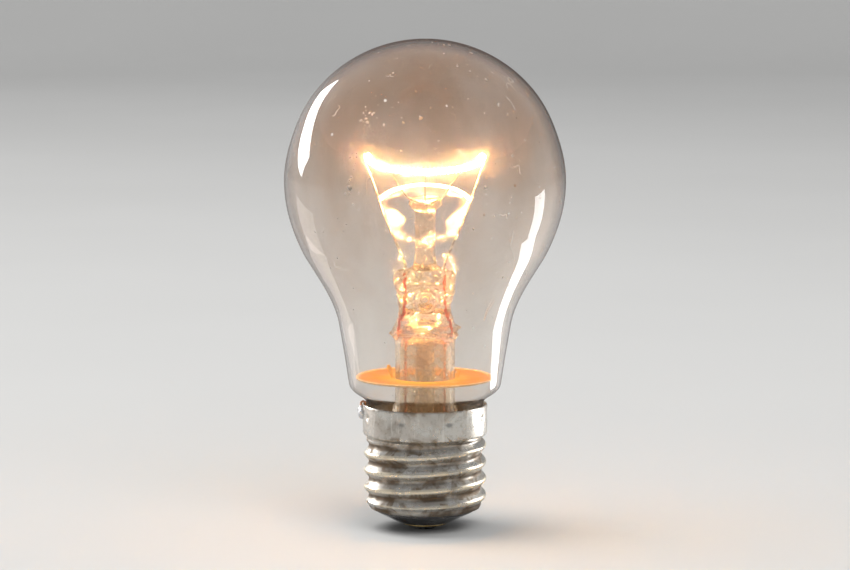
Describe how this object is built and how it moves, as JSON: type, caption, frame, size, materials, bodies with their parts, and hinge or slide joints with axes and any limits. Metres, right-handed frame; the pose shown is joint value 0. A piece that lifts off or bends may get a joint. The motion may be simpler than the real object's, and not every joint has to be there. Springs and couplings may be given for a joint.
{
  "type": "incandescent light bulb",
  "caption": "Clear-glass incandescent light bulb with a screw cap: pear-shaped globe, glass stem, lead and support wires and a coiled filament.",
  "frame": {"origin": "flat tip of the centre contact, on the bulb's axis", "axes": "+Z along the bulb's axis, from the cap to the crown of the globe; the filament's ends lie on X and it bows towards -Y"},
  "size_m": [0.06, 0.06, 0.105],
  "materials": {
    "bulb_glass": "clear blown glass, smoky brown film inside, dust and fine scratches outside",
    "stem_glass": "clear thick glass, flame-worked",
    "glowing_tungsten": "coiled tungsten, glowing",
    "molybdenum": "bare drawn wire",
    "nickel": "bare drawn wire, tarnished",
    "coated_wire": "red oxide of the copper coat, seen through the press",
    "copper": "bare copper wire",
    "amber_mica": "glossy amber mica sheet",
    "cap_metal": "drawn sheet, scuffed on the crests of the thread",
    "black_glass": "glossy black glass",
    "contact_brass": "tarnished brass",
    "solder": "dull solder, pressed and scratched",
    "cement": "baked cement"
  },
  "bodies": {
    "root": {"glass_envelope": "bulb_glass", "stem_glass": "stem_glass", "exhaust_tube": "stem_glass", "arbor_rod": "stem_glass", "filament": "glowing_tungsten", "support_wire_left": "molybdenum", "support_wire_middle": "molybdenum", "support_wire_right": "molybdenum", "inner_lead_left": "nickel", "inner_lead_right": "nickel", "seal_wire_left": "coated_wire", "seal_wire_right": "coated_wire", "side_lead": "copper", "contact_lead_upper": "copper", "fuse_wire": "nickel", "fuse_sleeve": "stem_glass", "contact_lead_lower": "copper", "heat_deflector": "amber_mica", "cap_shell": "cap_metal", "cap_insulator": "black_glass", "contact_plate": "contact_brass", "contact_solder": "solder", "side_solder": "solder", "basing_cement": "cement"}
  },
  "joints": []
}
